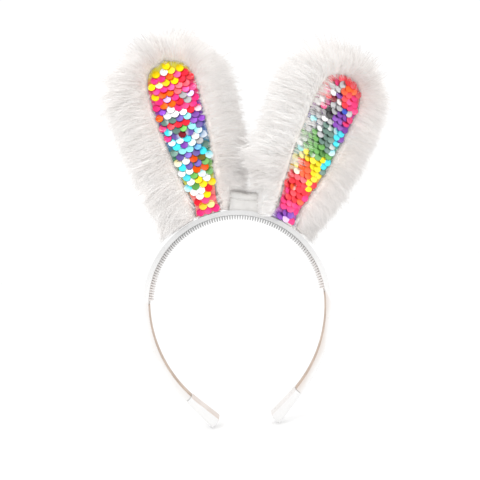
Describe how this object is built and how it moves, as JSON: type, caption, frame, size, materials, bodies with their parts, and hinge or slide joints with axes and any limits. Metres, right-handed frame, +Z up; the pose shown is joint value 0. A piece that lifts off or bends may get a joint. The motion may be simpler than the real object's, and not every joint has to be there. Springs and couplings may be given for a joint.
{
  "type": "animal ears headband",
  "caption": "Satin-wrapped spring headband with a toothed comb inside and two furry rabbit ears faced with rainbow flip sequins.",
  "frame": {"origin": "where the comb's middle teeth touch the crown of the wearer's head", "axes": "+Z up out of the head, +X towards the right ear as seen from the front, +Y to the back of the head"},
  "size_m": [0.1893, 0.055, 0.2679],
  "materials": {
    "satin": "white satin ribbon wrapped over the band, glossy along the ribbon",
    "ribbon_satin": "white satin ribbon, folded and creased",
    "lining": "thin beige ribbon lining, slightly rough",
    "comb_plastic": "translucent greyish-white moulded plastic teeth",
    "spring_plastic": "plain moulded spring plastic",
    "felt": "white felt pad",
    "steel_wire": "soft bendable steel wire",
    "wadding": "white polyester wadding",
    "fur": "long white faux fur with a faint warm tint at the roots",
    "fur_cloth": "knitted ground cloth of the faux fur",
    "sequin_cloth": "coral-pink knit mesh that the sequins are sewn to",
    "sequins": "glossy metallised film discs in rainbow bands, silver on the reverse"
  },
  "bodies": {
    "headband": {"band_core": "spring_plastic", "satin_cover": "satin", "comb_strip": "comb_plastic", "left_lining": "lining", "right_lining": "lining", "left_tip_cap": "satin", "right_tip_cap": "satin", "centre_ribbon": "ribbon_satin", "left_ear_pad": "felt", "right_ear_pad": "felt"},
    "left_foot": {"left_wire_foot": "steel_wire"},
    "left_ear": {"left_ear_hem": "fur_cloth", "left_ear_wire": "steel_wire", "left_ear_wadding": "wadding", "left_sequin_cloth": "sequin_cloth", "left_sequin_field": "sequins", "left_fur_cloth": "fur_cloth", "left_fur_back": "fur", "left_fur_trim": "fur"},
    "right_foot": {"right_wire_foot": "steel_wire"},
    "right_ear": {"right_ear_hem": "fur_cloth", "right_ear_wire": "steel_wire", "right_ear_wadding": "wadding", "right_sequin_cloth": "sequin_cloth", "right_sequin_field": "sequins", "right_fur_cloth": "fur_cloth", "right_fur_back": "fur", "right_fur_trim": "fur"}
  },
  "joints": [
    {"name": "left_ear_lean", "type": "hinge", "parent": "headband", "child": "left_foot", "pos_m": [-0.01568, 0, 0.00826], "axis": [0, 1, 0], "range_deg": [-10, 0]},
    {"name": "left_ear_bend", "type": "hinge", "parent": "left_foot", "child": "left_ear", "pos_m": [-0.01568, 0, 0.00826], "axis": [0.9778, 0, 0.2096], "range_deg": [-25, 25]},
    {"name": "right_ear_lean", "type": "hinge", "parent": "headband", "child": "right_foot", "pos_m": [0.03586, 0, -0.00015], "axis": [0, 1, 0], "range_deg": [0, 10]},
    {"name": "right_ear_bend", "type": "hinge", "parent": "right_foot", "child": "right_ear", "pos_m": [0.03586, 0, -0.00015], "axis": [0.8013, 0.4067, -0.4387], "range_deg": [-25, 25]}
  ]
}
